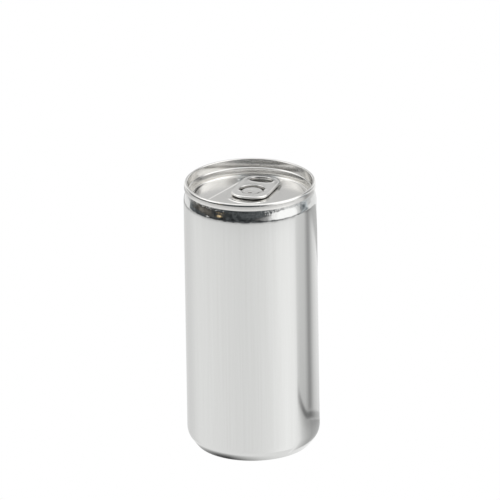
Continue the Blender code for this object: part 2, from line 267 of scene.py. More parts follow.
metal = add_node(tree, "ShaderNodeBsdfPrincipled", inputs={
    "Base Color": tone.outputs[2], "Metallic": 1.0, "Roughness": polish.outputs[0],
    "Anisotropic": WALL_ANISOTROPY, "Tangent": round_the_can.outputs[0], "Normal": relief.outputs[0]})
add_node(tree, "ShaderNodeOutputMaterial", inputs={"Surface": metal.outputs[0]})

body_tree = turning_tree("turned_body", ironed_wall)
can_body = close_shell("can_body_skin", [turn_section("body", BODY_SECTION, body_tree, TURN_STEPS)],
                       ironed_wall)
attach(can_body, "root")
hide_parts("can_body")

# ================================================================ end
# The lid, pressed from 5182 aluminium sheet: a flat panel in a deep countersink, its edge curled
# over the body's edge and rolled flat into a double seam.  The panel carries a fan shaped deboss,
# the score of the pour opening, a bead before the tab's nose, two pips and the rivet drawn from it.

RIM_Z = 111.0
PANEL_Z = 105.35
PANEL_CIRCLE = 21.3               # where the flat panel meets the turned part
DEBOSS_DEPTH = 0.22
DEBOSS_WALL = 1.3                 # plan width of the deboss's sloping edge
DEBOSS_Z = PANEL_Z - DEBOSS_DEPTH
RIVET_FOOT = 3.4                  # radius at which the panel starts to rise to the rivet

END_SECTION = [
    (PANEL_CIRCLE, PANEL_Z, 0.0),
    (21.8, PANEL_Z, 0.45),        # panel edge
    (22.0, 104.1, 0.62),          # countersink
    (24.0, 104.1, 0.62),
    (24.5, 107.15, 0.3),          # lower chuck wall up to its step
    (24.82, 107.45, 0.3),
    (24.88, RIM_Z, 0.38),         # seam, inside
    (26.03, RIM_Z, 0.76),         # seam, outside, rolled a little barrel shaped
    (26.17, 110.15, 1.5),
    (26.2, 108.2, 0.3),
    (25.28, 108.2, 0.0),          # slot that the body's edge goes up into
    (25.28, 108.62, 0.0),
    (25.09, 108.62, 0.0),
    (25.0, 107.35, 0.0),          # underside, out of sight
    (24.72, 107.1, 0.0),
    (24.2, 103.85, 0.3),
    (21.8, 103.85, 0.3),
    (21.6, 104.65, 0.0),
    (0.0, 104.65, 0.0),
]
RIVET_SECTION = [
    (RIVET_FOOT, DEBOSS_Z, 0.0),
    (2.2, DEBOSS_Z + 0.12, 0.5),
    (1.72, 105.9, 0.0),
    (2.7, 105.9, 0.1),            # head, flattened over the tab's tongue
    (2.7, 106.12, 0.12),
    (0.78, 106.2, 0.1),
    (0.66, 105.7, 0.2),           # dimple of the punch
    (0.0, 105.7, 0.0),
]
RIVET_STEPS = 72

DEBOSS_FRONT = 19.4               # radius of the fan's round front
DEBOSS_BACK = 20.2
DEBOSS_HALF_WIDTH = 13.7          # at DEBOSS_WIDE_Y
DEBOSS_WIDE_Y = -5.9
DEBOSS_TAPER = math.radians(14.0)
PIP_PLACES = ((-9.9, 14.1), (9.9, 14.1))
PIP_RADIUS = 0.85
PIP_HEIGHT = 0.14
BEAD_RADIUS = 9.1                 # of the curved bead's middle line about the rivet
BEAD_SPREAD = math.radians(44.0)
BEAD_HALF_WIDTH = 0.8
BEAD_HEIGHT = 0.25
SCORE_OUTLINE = {"half_width": 10.6, "near_y": -18.1, "far_y": -4.3, "near_cap": 7.6, "far_cap": 6.2}
SCORE_DEPTH = 0.06
SCORE_HALF_WIDTH = 0.14
POINT_SPACING = 0.35              # along the edges of the pressings and openings
FAN_EASING = 14                   # passes of averaging that round the fan's corners
FLAT_RING = 0.15                  # width of the flat ring beside each turned part


def arc(centre, radius, start, end, steps):
    """Points on an arc in plan; angles in radians."""
    angles = [start + (end - start) * step / steps for step in range(steps + 1)]
    return [(centre[0] + radius * math.cos(a), centre[1] + radius * math.sin(a)) for a in angles]


def circle(centre, radius, steps):
    """A closed ring of points in plan."""
    return arc(centre, radius, 0.0, 2.0 * math.pi, steps)[:-1]


def capped_outline(half_width, near_y, far_y, near_cap, far_cap, steps, power=2.3):
    """An outline with straight sides along Y and a full round cap at each end.

    The caps are half ellipses at a power of 2, and squarer above it."""
    points = []
    for cap_y, cap, sign in ((far_y - far_cap, far_cap, 1.0), (near_y + near_cap, near_cap, -1.0)):
        for step in range(2 * steps + 1):
            angle = math.pi * step / (2 * steps)
            across = math.copysign(abs(math.cos(angle)) ** (2.0 / power), math.cos(angle))
            along = abs(math.sin(angle)) ** (2.0 / power)
            points.append((sign * half_width * across, cap_y + sign * cap * along))
    return points


def even_outline(points, spacing):
    """The same closed outline with its points an even distance apart."""
    ring = np.array(points + points[:1])
    steps = np.hypot(*np.diff(ring, axis=0).T)
    ring = np.concatenate([ring[:1], ring[1:][steps > 1e-6]])
    along = np.concatenate([[0.0], np.cumsum(np.hypot(*np.diff(ring, axis=0).T))])
    count = max(8, int(round(along[-1] / spacing)))
    places = np.linspace(0.0, along[-1], count, endpoint=False)
    return list(zip(np.interp(places, along, ring[:, 0]), np.interp(places, along, ring[:, 1])))


def inset(outline, distance):
    """The outline moved inwards by a distance, or outwards where it is negative."""
    ring = np.array(outline)
    before, after = np.roll(ring, 1, axis=0), np.roll(ring, -1, axis=0)
    run = after - before
    area = np.sum(ring[:, 0] * after[:, 1] - after[:, 0] * ring[:, 1])
    inward = np.stack([-run[:, 1], run[:, 0]], axis=1) * math.copysign(1.0, area)
    inward /= np.hypot(*inward.T)[:, None]
    return [tuple(point) for point in ring + inward * distance]


def distance_inside(points, outline):
    """How far each point is from a closed outline, positive inside it and negative outside."""
    start = np.array(outline)
    run = np.roll(start, -1, axis=0) - start
    nearest = np.full(len(points), 1e9)
    inside = np.zeros(len(points), bool)
    for (x, y), (dx, dy) in zip(start, run):
        px, py = points[:, 0] - x, points[:, 1] - y
        along = np.clip((px * dx + py * dy) / (dx * dx + dy * dy), 0.0, 1.0)
        nearest = np.minimum(nearest, np.hypot(px - along * dx, py - along * dy))
        if dy:
            crossing = (py >= 0.0) != (py >= dy)
            inside ^= crossing & (px < dx * py / dy)
    return np.where(inside, nearest, -nearest)


def smoothstep(low, high, value):
    """0 below low, 1 above high and a smooth S between them."""
    share = np.clip((value - low) / (high - low), 0.0, 1.0)
    return share * share * (3.0 - 2.0 * share)


def plan_triangles(loops, points=()):
    """Triangles that keep every loop as edges; returns the plan's points and the triangles."""
    corners, edges = [], []
    for loop in loops:
        first = len(corners)
        corners += [Vector(point) for point in loop]
        edges += [(first + place, first + (place + 1) % len(loop)) for place in range(len(loop))]
    corners += [Vector(point) for point in points]
    plan, _, triangles, _, _, _ = delaunay_2d_cdt(corners, edges, [], 0, 1e-5)
    return np.array([tuple(point) for point in plan]), np.array([tuple(face) for face in triangles])


def relief_mesh(name, plan, heights, triangles):
    """A mesh from plan points in millimetres and their heights."""
    mesh = bpy.data.meshes.new(name)
    places = np.column_stack([plan, heights]) * MM
    mesh.from_pydata(places.tolist(), [], triangles.tolist())
    mesh.shade_smooth()
    return mesh


def deboss_outline():
    """The fan: round in front and behind, its straight sides closing in to the heel."""
    apex_y = DEBOSS_WIDE_Y + DEBOSS_HALF_WIDTH / math.tan(DEBOSS_TAPER)
    front = math.asin(apex_y * math.sin(DEBOSS_TAPER) / DEBOSS_FRONT) + DEBOSS_TAPER - math.pi / 2.0
    back = math.pi / 2.0 - math.asin(apex_y * math.sin(DEBOSS_TAPER) / DEBOSS_BACK) + DEBOSS_TAPER
    points = arc((0.0, 0.0), DEBOSS_BACK, back, math.pi - back, 40)
    points += arc((0.0, 0.0), DEBOSS_FRONT, math.pi - front, 2.0 * math.pi + front, 80)
    return points


def rounded(outline, spacing, passes):
    """An outline with its corners eased, by averaging neighbours."""
    ring = np.array(even_outline(outline, spacing))
    for _ in range(passes):
        ring = 0.5 * ring + 0.25 * (np.roll(ring, 1, axis=0) + np.roll(ring, -1, axis=0))
    return [tuple(point) for point in ring]


def panel_mesh():
    """The flat panel with its pressings, between the rivet's foot and the turned part."""
    fan = rounded(deboss_outline(), POINT_SPACING, FAN_EASING)
    score = even_outline(capped_outline(steps=24, **SCORE_OUTLINE), POINT_SPACING)
    bead_from, bead_to = 1.5 * math.pi - BEAD_SPREAD, 1.5 * math.pi + BEAD_SPREAD
    middle = arc((0.0, 0.0), BEAD_RADIUS, bead_from, bead_to, 48)
    outer_rim = circle((0.0, 0.0), PANEL_CIRCLE, TURN_STEPS)
    foot = circle((0.0, 0.0), RIVET_FOOT, RIVET_STEPS)
    loops = [outer_rim, circle((0.0, 0.0), PANEL_CIRCLE - FLAT_RING, TURN_STEPS)]
    loops += [foot, circle((0.0, 0.0), RIVET_FOOT + FLAT_RING, RIVET_STEPS)]
    loops += [inset(fan, step * DEBOSS_WALL / 8.0) for step in range(-1, 10)]
    loops += [inset(score, share * SCORE_HALF_WIDTH) for share in (-1.6, -1.0, 0.0, 1.0, 1.6)]
    loops.append(middle + middle[-2:0:-1])
    for share in (0.25, 0.5, 0.75, 1.0, 1.3):
        half = BEAD_HALF_WIDTH * share
        loops.append(arc((0.0, 0.0), BEAD_RADIUS + half, bead_from, bead_to, 48)
                     + arc(middle[-1], half, bead_to, bead_to + math.pi, 8)[1:-1]
                     + arc((0.0, 0.0), BEAD_RADIUS - half, bead_to, bead_from, 48)
                     + arc(middle[0], half, bead_from + math.pi, bead_from + 2.0 * math.pi, 8)[1:-1])
    for place in PIP_PLACES:
        loops += [circle(place, PIP_RADIUS * share, 20) for share in (0.25, 0.5, 0.75, 1.0, 1.25)]
    plan, triangles = plan_triangles(loops, PIP_PLACES)

    centres = plan[triangles].mean(axis=1)
    keep = (distance_inside(centres, foot) < 0.0) & (distance_inside(centres, outer_rim) > 0.0)
    triangles = triangles[keep]
    heights = np.full(len(plan), PANEL_Z)
    heights -= DEBOSS_DEPTH * smoothstep(0.0, DEBOSS_WALL, distance_inside(plan, fan))
    groove = np.abs(distance_inside(plan, score)) / SCORE_HALF_WIDTH
    heights -= SCORE_DEPTH * (1.0 - smoothstep(0.0, 1.0, groove))
    turn = np.clip(np.mod(np.arctan2(plan[:, 1], plan[:, 0]), 2.0 * math.pi), bead_from, bead_to)
    off_bead = np.hypot(plan[:, 0] - BEAD_RADIUS * np.cos(turn),
                        plan[:, 1] - BEAD_RADIUS * np.sin(turn))
    heights += BEAD_HEIGHT * (1.0 - smoothstep(0.0, BEAD_HALF_WIDTH, off_bead))
    for x, y in PIP_PLACES:
        off_pip = np.hypot(plan[:, 0] - x, plan[:, 1] - y)
        heights += PIP_HEIGHT * (1.0 - smoothstep(0.0, PIP_RADIUS, off_pip))
    return relief_mesh("panel", plan, heights, triangles)


# Pressed 5182 aluminium sheet under clear lacquer: half bright, with the faint straight grain of
# the rolling mill across the whole blank, and a painted shade, greyer, under the tab and down in the
# rivet's dimple.
END_PALE = "#E8E7E5"
END_DULL = "#DFDEDB"
# colour of the painted shade under the tab and in the rivet's dimple
END_PAINTED_SHADE = "#A5A39F"
END_ROUGHNESS = 0.16
GRAIN_WIDTH = 0.12                # drawn coarser than real mill grain, to show at all
GRAIN_LENGTH = 4.0
GRAIN_DEPTH = 0.0006
# painted shade where the tab shades the panel: axis, middle, and how far from it the shade is full and
# gone
UNDER_TAB_SHADE_ZONE = (("X", 0.0, 5.4, 7.2), ("Y", 5.3, 9.4, 12.2), ("Z", 104.9, 0.25, 0.6))
DIMPLE_PLACE = (0.0, 0.0, 105.6 * MM)
DIMPLE_SHADE_REACH = (0.7, 0.95)        # how far from there the painted shade is full and gone

rolled_end, tree = new_finish("rolled_aluminium_end_sheet")
coords = tree.nodes.new("ShaderNodeTexCoord").outputs["Object"]
stretched = add_node(tree, "ShaderNodeMapping", inputs={
    "Vector": coords,
    "Scale": (1.0 / (GRAIN_LENGTH * MM), 1.0 / (GRAIN_WIDTH * MM), 1.0 / (GRAIN_WIDTH * MM))})
grain = add_node(tree, "ShaderNodeTexNoise", inputs={
    "Vector": stretched.outputs[0], "Scale": 1.0, "Detail": 2.0, "Roughness": 0.6})
tone = add_node(tree, "ShaderNodeMix", {"data_type": "RGBA"}, {
    0: grain.outputs["Fac"], 6: linear(END_DULL), 7: linear(END_PALE)})
relief = add_node(tree, "ShaderNodeBump", inputs={
    "Strength": 1.0, "Distance": GRAIN_DEPTH * MM, "Height": grain.outputs["Fac"]})

# painted shade, greyer, where the tab shades the panel and down in the rivet's dimple
place = add_node(tree, "ShaderNodeSeparateXYZ", inputs={0: coords})
under_tab_shade = None
for axis, middle, full, gone in UNDER_TAB_SHADE_ZONE:
    off = add_node(tree, "ShaderNodeMath", {"operation": "SUBTRACT"}, {
        0: place.outputs[axis], 1: middle * MM})
    off = add_node(tree, "ShaderNodeMath", {"operation": "ABSOLUTE"}, {0: off.outputs[0]})
    share = add_node(tree, "ShaderNodeMapRange", {"interpolation_type": "SMOOTHSTEP"}, {
        "Value": off.outputs[0], "From Min": full * MM, "From Max": gone * MM,
        "To Min": 1.0, "To Max": 0.0})
    if under_tab_shade is None:
        under_tab_shade = share
    else:
        under_tab_shade = add_node(tree, "ShaderNodeMath", {"operation": "MULTIPLY"}, {
            0: under_tab_shade.outputs[0], 1: share.outputs[0]})
from_dimple = add_node(tree, "ShaderNodeVectorMath", {"operation": "DISTANCE"}, {
    0: coords, 1: DIMPLE_PLACE})
dimple = add_node(tree, "ShaderNodeMapRange", {"interpolation_type": "SMOOTHSTEP"}, {
    "Value": from_dimple.outputs["Value"], "From Min": DIMPLE_SHADE_REACH[0] * MM,
    "From Max": DIMPLE_SHADE_REACH[1] * MM, "To Min": 1.0, "To Max": 0.0})
painted_shade = add_node(tree, "ShaderNodeMath", {"operation": "MAXIMUM"}, {
    0: under_tab_shade.outputs[0], 1: dimple.outputs[0]})
# the painted shade is mixed into the sheet's own tone
tone = add_node(tree, "ShaderNodeMix", {"data_type": "RGBA"}, {
    0: painted_shade.outputs[0], 6: tone.outputs[2], 7: linear(END_PAINTED_SHADE)})
metal = add_node(tree, "ShaderNodeBsdfPrincipled", inputs={
    "Base Color": tone.outputs[2], "Metallic": 1.0, "Roughness": END_ROUGHNESS,
    "Normal": relief.outputs[0]})
add_node(tree, "ShaderNodeOutputMaterial", inputs={"Surface": metal.outputs[0]})

end_tree = turning_tree("turned_end", rolled_end)
can_end = close_shell("can_end_skin", [
    turn_section("end", END_SECTION, end_tree, TURN_STEPS),
    turn_section("rivet", RIVET_SECTION, end_tree, RIVET_STEPS),
    panel_mesh()], rolled_end)
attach(can_end, "root")
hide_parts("can_end")

# ================================================================ tab
# The stay-on tab, formed from a strip of 5182 aluminium: its edge is curled under all round for
# strength, the web is set in between, and a tongue cut free by a curved slot is held by the rivet.

TAB_OUTLINE = {"half_width": 7.9, "near_y": -5.7, "far_y": 18.7, "near_cap": 6.9, "far_cap": 6.2}
FINGER_HOLE = {"half_width": 4.7, "near_y": 11.2, "far_y": 16.9, "near_cap": 1.6, "far_cap": 3.8}
TAB_BOTTOM = 105.42               # at the rivet
TAB_TOP = 106.54
TAB_LIFT = 0.003                  # rise of the tab towards its heel, per millimetre
TAB_EDGE_ROUND = 0.47
CURL_FLAT = 0.7                   # how far in from the edge the curl's top goes
CURL_END = 1.9                    # and where it has come down to the web
WEB_DROP = 0.1
WEB_RISE = 0.3
TONGUE_DROP = 0.5                 # how much lower than the web the tongue lies
TONGUE_EASE = 0.5                 # how far either side of the slot's line its set-down runs
TONGUE_NOSE_EASE = 1.6            # and how much further in towards the nose, where it is uncut
SLOT_CENTRE = (0.0, 2.4)
SLOT_RADIUS = 4.7
SLOT_HALF_WIDTH = 0.6
SLOT_FROM = math.radians(26.0)
SLOT_TO = math.radians(196.0)
SLOT_END_GAP = 0.14               # turn left free between the slot's ends and the uncut loops
TONGUE_HOLE = 1.85
HEM_RISE = 0.12                   # how proud the turned edge of the finger hole stands
HEM_DROP = 0.15                   # and how far it hangs under the web
HEM_FLAT = 0.35                   # how far from the hole the hem is full
HEM_WIDTH = 0.8
SLOT_LIP = 0.12                   # how proud the slot's outer edge stands
LIP_FLAT = 0.2
LIP_WIDTH = 0.55
CUT_ROUND = 0.17                  # rounding of the cut edges
EDGE_SLACK = 0.002
TAB_POINT_SPACING = 0.42


def slot_outline(half):
    """The curved slot behind the rivet, with round ends."""
    first, last = SLOT_FROM, SLOT_TO
    outer = arc(SLOT_CENTRE, SLOT_RADIUS + half, first, last, 60)
    inner = arc(SLOT_CENTRE, SLOT_RADIUS - half, last, first, 60)
    right, left = (arc(SLOT_CENTRE, SLOT_RADIUS, angle, angle, 1)[0] for angle in (first, last))
    return (outer + arc(left, half, last, last + math.pi, 8)[1:-1]
            + inner + arc(right, half, first - math.pi, first, 8)[1:-1])


def edge_fullness(distance, rounding):
    """How much of its thickness a plate has at a distance in from a round edge, from 0 to 1.

    Points closer to the edge than the slack count as on it, so that both skins meet there."""
    share = np.clip((distance - EDGE_SLACK) / rounding, 0.0, 1.0)
    return np.sqrt(np.clip(1.0 - (1.0 - share) ** 2, 0.0, 1.0))


def tab_mesh():
    """The tab's upper and lower skins, which meet along the outline and the openings."""
    outline = even_outline(capped_outline(steps=40, **TAB_OUTLINE), TAB_POINT_SPACING)
    finger = even_outline(capped_outline(steps=24, **FINGER_HOLE), POINT_SPACING)
    slot = slot_outline(SLOT_HALF_WIDTH)
    hole = circle((0.0, 0.0), TONGUE_HOLE, 40)
    rounding = [1.0 - math.cos(math.radians(angle)) for angle in (0, 14, 28, 42, 56, 73, 90)]
    loops = [inset(outline, TAB_EDGE_ROUND * share) for share in rounding]
    loops += [inset(outline, distance) for distance in
              (0.58, CURL_FLAT, 0.9, 1.1, 1.3, 1.5, 1.7, CURL_END, 2.05)]
    for cut, reach in ((finger, HEM_WIDTH), (slot, 0.5)):
        loops += [inset(cut, -CUT_ROUND * share) for share in rounding[::2] + rounding[-1:]]
        loops += [inset(cut, -(CUT_ROUND + (reach - CUT_ROUND) * share))
                  for share in (0.3, 0.65, 1.0, 1.15)]
    loops += [inset(hole, -CUT_ROUND * share) for share in rounding[::2]]
    left, right = SLOT_TO + SLOT_END_GAP, 2.0 * math.pi + SLOT_FROM - SLOT_END_GAP
    for radius in [SLOT_RADIUS + 0.25 * step for step in (-2, -1, 0, 1, 2)]:
        uncut = arc(SLOT_CENTRE, radius, left, right, 30)
        loops.append(uncut + uncut[-2:0:-1])
    plan, triangles = plan_triangles(loops)

    centres = plan[triangles].mean(axis=1)
    keep = distance_inside(centres, outline) > 0.0
    for cut in (finger, slot, hole):
        keep &= distance_inside(centres, cut) < 0.0
    triangles = triangles[keep]

    from_edge = np.maximum(distance_inside(plan, outline), 0.0)
    from_finger, from_slot, from_hole = (
        np.maximum(-distance_inside(plan, cut), 0.0) for cut in (finger, slot, hole))
    web = smoothstep(CURL_FLAT, CURL_END, from_edge)
    off_tongue = np.hypot(plan[:, 0] - SLOT_CENTRE[0], plan[:, 1] - SLOT_CENTRE[1])
    toward_nose = smoothstep(SLOT_CENTRE[1] + 1.0, SLOT_CENTRE[1] - 2.0, plan[:, 1])
    tongue_edge = SLOT_RADIUS - TONGUE_EASE - TONGUE_NOSE_EASE * toward_nose
    tongue = TONGUE_DROP * (1.0 - smoothstep(tongue_edge, SLOT_RADIUS + TONGUE_EASE, off_tongue))
    hem = 1.0 - smoothstep(HEM_FLAT, HEM_WIDTH, from_finger)
    lip = SLOT_LIP * (1.0 - smoothstep(LIP_FLAT, LIP_WIDTH, from_slot)) * (off_tongue > SLOT_RADIUS)
    lift = TAB_LIFT * plan[:, 1]
    top = TAB_TOP - WEB_DROP * web - tongue + HEM_RISE * hem + lip + lift
    bottom = TAB_BOTTOM + WEB_RISE * web - tongue - HEM_DROP * hem - 2.0 * lip + 0.2 * lift
    fullness = edge_fullness(from_edge, TAB_EDGE_ROUND)
    for distance in (from_finger, from_slot, from_hole):
        fullness *= edge_fullness(distance, CUT_ROUND)
    middle = 0.5 * (top + bottom)
    half = 0.5 * (top - bottom) * fullness
    return [relief_mesh("tab_top", plan, middle + half, triangles),
            relief_mesh("tab_bottom", plan, middle - half, triangles[:, ::-1])]


# Formed 5182 tab stock, bare but for a trace of wax: brighter than the end that it sits on, with
# fine mill grain along the strip that spreads its reflections a little.
TAB_PALE = "#F0EFED"
TAB_DULL = "#E6E5E2"
TAB_ROUGHNESS = 0.19

tab_stock, tree = new_finish("formed_aluminium_tab_stock")
coords = tree.nodes.new("ShaderNodeTexCoord").outputs["Object"]
stretched = add_node(tree, "ShaderNodeMapping", inputs={
    "Vector": coords,
    "Scale": (1.0 / (GRAIN_WIDTH * MM), 1.0 / (GRAIN_LENGTH * MM), 1.0 / (GRAIN_WIDTH * MM))})
grain = add_node(tree, "ShaderNodeTexNoise", inputs={
    "Vector": stretched.outputs[0], "Scale": 1.0, "Detail": 2.0, "Roughness": 0.6})
tone = add_node(tree, "ShaderNodeMix", {"data_type": "RGBA"}, {
    0: grain.outputs["Fac"], 6: linear(TAB_DULL), 7: linear(TAB_PALE)})
relief = add_node(tree, "ShaderNodeBump", inputs={
    "Strength": 1.0, "Distance": GRAIN_DEPTH * MM, "Height": grain.outputs["Fac"]})
metal = add_node(tree, "ShaderNodeBsdfPrincipled", inputs={
    "Base Color": tone.outputs[2], "Metallic": 1.0, "Roughness": TAB_ROUGHNESS,
    "Normal": relief.outputs[0]})
add_node(tree, "ShaderNodeOutputMaterial", inputs={"Surface": metal.outputs[0]})

pull_tab = close_shell("pull_tab_skin", tab_mesh(), tab_stock)
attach(pull_tab, "root")
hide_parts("pull_tab")

# ================================================================ floor, light and camera
# A wide white table top lit evenly from above, in a pale room whose near side is dark: the wall
# mirrors the table, the neck mirrors the dark side of the room and the windows and lamps in it.

CAMERA_AZIMUTH = math.radians(20.0)
CAMERA_ELEVATION = math.radians(21.45)
CAMERA_ROLL = math.radians(0.88)
LENS = 1000.0                     # a long lens, so that the can is seen almost without perspective
SENSOR = 36.0
VIEW_WIDTH = 199.1                # millimetres across the view at the can
AIM = (-0.36, 81.6)               # the middle of the view: sideways, and up the axis

FLOOR_RADIUS = 4000.0
FLOOR_GLOW = 1.0
ROOM_GLOW = 1.1                   # the white room in front and above
SOFTBOX_SIZE = (0.9, 0.7)         # in metres
SOFTBOX_DISTANCE = 0.95           # in metres
SOFTBOX_DIRECTION = (math.radians(170.0), math.radians(68.0))
SOFTBOX_WATTS = 0.8
ROOM_HEIGHT = 106.0               # height from which elevations in the room are counted
DARK_SIDE_RADIUS = 380.0          # how far from the can the sheets of the room stand
WINDOW_RADIUS = 378.0
DOOR_RADIUS = 374.0
BACK_BLIND_RADIUS = 670.0
BACK_WALL_RADIUS = 680.0
SHEET_STEP = 4.0                  # widest facet of a graded sheet, in degrees
MOTTLE = (0.36, 0.68)             # noise values at which one colour of a mottled sheet is full
WHITE = "#FFFFFF"


def toward(azimuth, elevation=0.0):
    """A direction from the can, with azimuth counted from the camera's side to the right."""
    turn = CAMERA_AZIMUTH + azimuth
    return Vector((math.sin(turn) * math.cos(elevation), -math.cos(turn) * math.cos(elevation),
                   math.sin(elevation)))


def glow(name, colour, dull=None, patch=0.0, two_sided=True):
    """A surface that only shines, as strongly as its "glow" attribute says.

    Where a duller colour is given it is mottled with that, in patches of so many millimetres, and
    where it isn't two-sided it can be looked through from behind."""
    material, tree = new_finish(name)
    strength = tree.nodes.new("ShaderNodeAttribute")
    strength.attribute_name = "glow"
    shine = add_node(tree, "ShaderNodeEmission", inputs={
        "Color": linear(colour), "Strength": strength.outputs["Fac"]})
    if dull:
        coords = tree.nodes.new("ShaderNodeTexCoord").outputs["Object"]
        patches = add_node(tree, "ShaderNodeTexNoise", inputs={
            "Vector": coords, "Scale": 1.0 / (patch * MM), "Detail": 3.0, "Roughness": 0.55})
        contrast = add_node(tree, "ShaderNodeMapRange", inputs={
            "Value": patches.outputs["Fac"], "From Min": MOTTLE[0], "From Max": MOTTLE[1]})
        tint = add_node(tree, "ShaderNodeMix", {"data_type": "RGBA"}, {
            0: contrast.outputs[0], 6: linear(dull), 7: linear(colour)})
        tree.links.new(tint.outputs[2], shine.inputs["Color"])
    surface = shine.outputs[0]
    if not two_sided:
        side = tree.nodes.new("ShaderNodeNewGeometry")
        clear = tree.nodes.new("ShaderNodeBsdfTransparent")
        surface = add_node(tree, "ShaderNodeMixShader", inputs={
            0: side.outputs["Backfacing"], 1: surface, 2: clear.outputs[0]}).outputs[0]
    add_node(tree, "ShaderNodeOutputMaterial", inputs={"Surface": surface})
    return material


def stage_sheet(name, corners, faces, material, glows, seen=False):
    """A flat or folded sheet of the studio, seen only in reflections unless it is to be seen."""
    mesh = bpy.data.meshes.new(name)
    mesh.from_pydata([tuple(Vector(corner) * MM) for corner in corners], [], faces)
    mesh.attributes.new("glow", "FLOAT", "POINT").data.foreach_set("value", glows)
    mesh.materials.append(material)
    sheet = bpy.data.objects.new(name, mesh)
    bpy.context.scene.collection.objects.link(sheet)
    if not seen:
        sheet.visible_camera = False
        sheet.visible_diffuse = False
        sheet.visible_shadow = False
        sheet.visible_transmission = False
    return sheet


def graded_sheet(name, place, columns, rows, material, base=0.0, **where):
    """A sheet woven over azimuths and rows; a row's share leads from the base light to the column's.

    The place function gets each azimuth and row, and whatever else it needs to know."""
    azimuths = [columns[0][0]]
    for (first, _), (last, _) in zip(columns, columns[1:]):
        steps = max(1, int(math.ceil((last - first) / SHEET_STEP)))
        azimuths += [first + (last - first) * (step + 1) / steps for step in range(steps)]
    lights = np.interp(azimuths, [c[0] for c in columns], [c[1] for c in columns])
    corners, faces, glows = [], [], []
    for azimuth, light in zip(azimuths, lights):
        for row, share in rows:
            corners.append(place(math.radians(azimuth), row, **where))
            glows.append(base + (light - base) * share)
    deep = len(rows)
    for column in range(len(azimuths) - 1):
        for row in range(deep - 1):
            n = column * deep + row
            faces.append((n, n + 1, n + deep + 1, n + deep))
    return stage_sheet(name, corners, faces, material, glows)


WALL_RADIUS = 26.5
TABLE_SHEET_Z = 0.5               # how far above the floor the sheets of the table's light lie


def on_table(azimuth, distance):
    """The spot on the table that the upright wall mirrors at this azimuth, this far from the wall."""
    return (toward(azimuth / 2.0) * WALL_RADIUS + toward(azimuth) * distance
            + Vector((0.0, 0.0, TABLE_SHEET_Z)))


CARD_NEAR_SIDE = math.radians(113.0)   # between these azimuths the card keeps its distance
CARD_FAR_SIDE = math.radians(119.0)
CARD_TURN = math.radians(20.0)
CARD_AWAY = 0.4                   # how it bends away before them, for each such turn squared
CARD_CLOSER = 0.12                # and comes closer beyond them, for each such turn


def along_card(azimuth, distance):
    """A spot on the table, its distance counted as the white card's foot runs past the can."""
    before = max(0.0, CARD_NEAR_SIDE - azimuth) / CARD_TURN
    beyond = max(0.0, azimuth - CARD_FAR_SIDE) / CARD_TURN
    return on_table(azimuth, distance * (1.0 + CARD_AWAY * before * before - CARD_CLOSER * beyond))


CONTACT_Z = 0.05                  # how far above the floor the contact shade lies
CONTACT_LIT_FROM = math.radians(-30.0)
CONTACT_PULL = 1.6                # how much closer in the shade lies a radian further on


def on_ring(azimuth, radius):
    """A spot on the table that far from the can's axis, closer in where the light gets under it."""
    lit = min(1.0, max(0.0, azimuth - CONTACT_LIT_FROM))
    return toward(azimuth) * (radius - CONTACT_PULL * lit) + Vector((0.0, 0.0, CONTACT_Z))


def on_room(azimuth, elevation, radius):
    """A spot on a round wall, seen from the neck at this azimuth and elevation in degrees."""
    rise = ROOM_HEIGHT + radius * math.tan(math.radians(elevation))
    return toward(azimuth) * radius + Vector((0.0, 0.0, rise))


MIRROR_LEVEL = math.radians(50.0)      # up to this azimuth the neck's mirror line runs level
MIRROR_FALL = 11.0                # how many degrees it falls for each radian beyond


def on_sloping_room(azimuth, elevation, radius):
    """The same, the elevation falling off to the sides as the neck's own mirror line does."""
    return on_room(azimuth, elevation - MIRROR_FALL * max(0.0, abs(azimuth) - MIRROR_LEVEL), radius)


WINDOW_NARROWS_AT = math.radians(52.0)
WINDOW_NARROWS_OVER = math.radians(34.0)
WINDOW_LOSS = 0.72                # share of its height that is gone at the narrow end
WINDOW_FALLS_AT = math.radians(73.0)
WINDOW_FALL = 1.7                 # share of its upper half that goes for each radian beyond


def on_window(azimuth, elevation, radius):
    """A spot on the low window, narrow at its left end and with its top falling to the right."""
    narrow = min(1.0, max(0.0, (WINDOW_NARROWS_AT - azimuth) / WINDOW_NARROWS_OVER))
    if elevation > 0.0:
        elevation *= 1.0 - WINDOW_FALL * max(0.0, azimuth - WINDOW_FALLS_AT)
    return on_room(azimuth, elevation * (1.0 - WINDOW_LOSS * narrow) - narrow, radius)


floor_ring = [Vector((p[0], p[1], 0.0)) for p in circle((0.0, 0.0), FLOOR_RADIUS, 96)]
stage_sheet("floor", floor_ring, [tuple(range(len(floor_ring)))],
            glow("white_table_top", WHITE, two_sided=False),
            [FLOOR_GLOW] * len(floor_ring), seen=True)

# what the wall mirrors: the table, a little uneven in its light, and to the right a white card with
# a painted shadow as a dark line along its foot and the shaded table before it
table_light = glow("light_on_table", WHITE)
graded_sheet("table_light", on_table, [
    (-180.0, 0.8), (-150.0, 0.82), (-134.0, 0.88), (-122.0, 0.96), (-112.0, 1.02), (-95.0, 1.03),
    (-70.0, 1.01), (-45.0, 0.98), (-15.0, 0.95), (5.0, 0.97), (25.0, 1.02), (38.0, 1.08), (50.0, 1.15),
    (62.0, 1.19), (76.0, 1.17), (84.0, 1.09)],
    [(1.0, 1.0), (150.0, 1.0), (250.0, 1.0), (264.0, 1.03), (273.0, 0.93), (286.0, 0.6), (345.0, 0.56)],
    table_light)
graded_sheet("card_light", along_card, [
    (84.5, 0.95), (91.0, 0.82), (104.0, 0.76), (109.5, 0.62), (115.0, 0.4), (120.0, 0.4),
    (126.0, 0.6), (135.0, 0.84), (150.0, 0.94), (180.0, 0.86)],
    [(42.5, 0.88), (110.0, 0.97), (250.0, 1.05), (264.0, 1.1), (273.0, 0.99), (286.0, 0.66),
     (345.0, 0.62)], table_light)
